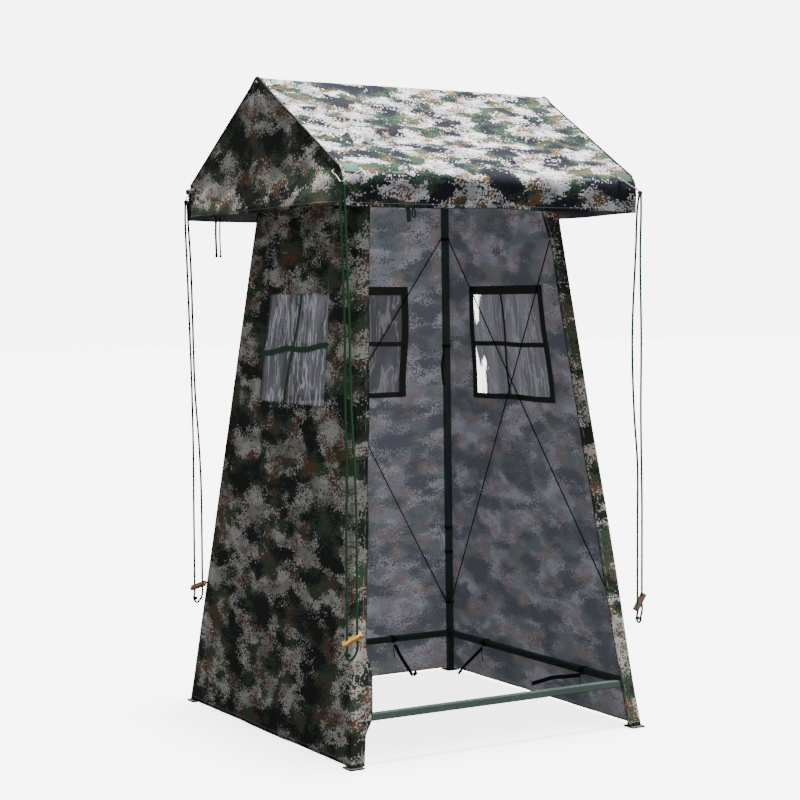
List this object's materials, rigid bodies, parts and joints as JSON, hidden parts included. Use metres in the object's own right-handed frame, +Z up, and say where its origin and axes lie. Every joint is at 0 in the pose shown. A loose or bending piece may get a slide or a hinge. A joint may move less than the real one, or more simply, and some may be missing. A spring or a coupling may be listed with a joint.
{
  "type": "privacy shower tent",
  "caption": "Upright privacy shower tent: tapered square-tube frame, gable canopy with valance, camouflage walls with clear windows, open front and corner guy lines.",
  "frame": {"origin": "on the floor, in the middle of the four feet", "axes": "+Z up, +Y from the open front to the back wall, +X to the right along the front"},
  "size_m": [1.3027, 1.354, 2.4],
  "materials": {
    "tube_green": "satin",
    "foot_plate": "matte",
    "camouflage_cloth": "matte",
    "clear_film": "gloss",
    "stay_cord": "matte",
    "guy_rope": "matte",
    "runner_wood": "satin"
  },
  "bodies": {
    "tent": {"brace_cord_back_a": "stay_cord", "brace_cord_back_b": "stay_cord", "brace_cord_left_a": "stay_cord", "brace_cord_left_b": "stay_cord", "brace_cord_right_a": "stay_cord", "brace_cord_right_b": "stay_cord", "door_curtain_roll": "camouflage_cloth", "eave_pole_back": "tube_green", "eave_pole_front": "tube_green", "eave_sleeve_back_left": "tube_green", "eave_sleeve_back_right": "tube_green", "eave_sleeve_front_left": "tube_green", "eave_sleeve_front_right": "tube_green", "foot_plate_back_left": "foot_plate", "foot_plate_back_right": "foot_plate", "foot_plate_front_left": "foot_plate", "foot_plate_front_right": "foot_plate", "front_strip_left": "camouflage_cloth", "front_strip_right": "camouflage_cloth", "leg_back_left": "tube_green", "leg_back_right": "tube_green", "leg_front_left": "tube_green", "leg_front_right": "tube_green", "leg_saddle_back_left": "tube_green", "leg_saddle_back_right": "tube_green", "leg_saddle_front_left": "tube_green", "leg_saddle_front_right": "tube_green", "lower_rail_back": "tube_green", "lower_rail_front": "tube_green", "lower_rail_left": "tube_green", "lower_rail_right": "tube_green", "rafter_back_left": "tube_green", "rafter_back_right": "tube_green", "rafter_front_left": "tube_green", "rafter_front_right": "tube_green", "ridge_pole": "tube_green", "ridge_sleeve_left": "tube_green", "ridge_sleeve_right": "tube_green", "roof_gable_left": "camouflage_cloth", "roof_gable_right": "camouflage_cloth", "roof_slope_back": "camouflage_cloth", "roof_slope_front": "camouflage_cloth", "upper_rail_back": "tube_green", "upper_rail_front": "tube_green", "upper_rail_left": "tube_green", "upper_rail_right": "tube_green", "wall_back": "camouflage_cloth", "wall_left": "camouflage_cloth", "wall_right": "camouflage_cloth", "window_film_back": "clear_film", "window_film_left": "clear_film", "window_film_right": "clear_film"},
    "guy_line_front_left": {"guy_line_front_left": "guy_rope"},
    "guy_runner_front_left": {"guy_runner_front_left": "runner_wood"},
    "guy_line_front_right": {"guy_line_front_right": "guy_rope"},
    "guy_runner_front_right": {"guy_runner_front_right": "runner_wood"},
    "guy_line_back_left": {"guy_line_back_left": "guy_rope"},
    "guy_runner_back_left": {"guy_runner_back_left": "runner_wood"},
    "guy_line_back_right": {"guy_line_back_right": "guy_rope"},
    "guy_runner_back_right": {"guy_runner_back_right": "runner_wood"}
  },
  "joints": [
    {"name": "guy_swing_front_left", "type": "hinge", "parent": "tent", "child": "guy_line_front_left", "pos_m": [-0.629, -0.639, 1.985], "axis": [-0.7071, 0.7071, 0], "range_deg": [0, 55]},
    {"name": "runner_slide_front_left", "type": "slide", "parent": "guy_line_front_left", "child": "guy_runner_front_left", "axis": [0, 0, 1], "range_m": [0, 0.25]},
    {"name": "guy_swing_front_right", "type": "hinge", "parent": "tent", "child": "guy_line_front_right", "pos_m": [0.629, -0.639, 1.985], "axis": [-0.7071, -0.7071, 0], "range_deg": [0, 55]},
    {"name": "runner_slide_front_right", "type": "slide", "parent": "guy_line_front_right", "child": "guy_runner_front_right", "axis": [0, 0, 1], "range_m": [0, 0.25]},
    {"name": "guy_swing_back_left", "type": "hinge", "parent": "tent", "child": "guy_line_back_left", "pos_m": [-0.629, 0.639, 1.985], "axis": [0.7071, 0.7071, 0], "range_deg": [0, 55]},
    {"name": "runner_slide_back_left", "type": "slide", "parent": "guy_line_back_left", "child": "guy_runner_back_left", "axis": [0, 0, 1], "range_m": [0, 0.25]},
    {"name": "guy_swing_back_right", "type": "hinge", "parent": "tent", "child": "guy_line_back_right", "pos_m": [0.629, 0.639, 1.985], "axis": [0.7071, -0.7071, 0], "range_deg": [0, 55]},
    {"name": "runner_slide_back_right", "type": "slide", "parent": "guy_line_back_right", "child": "guy_runner_back_right", "axis": [0, 0, 1], "range_m": [0, 0.25]}
  ]
}
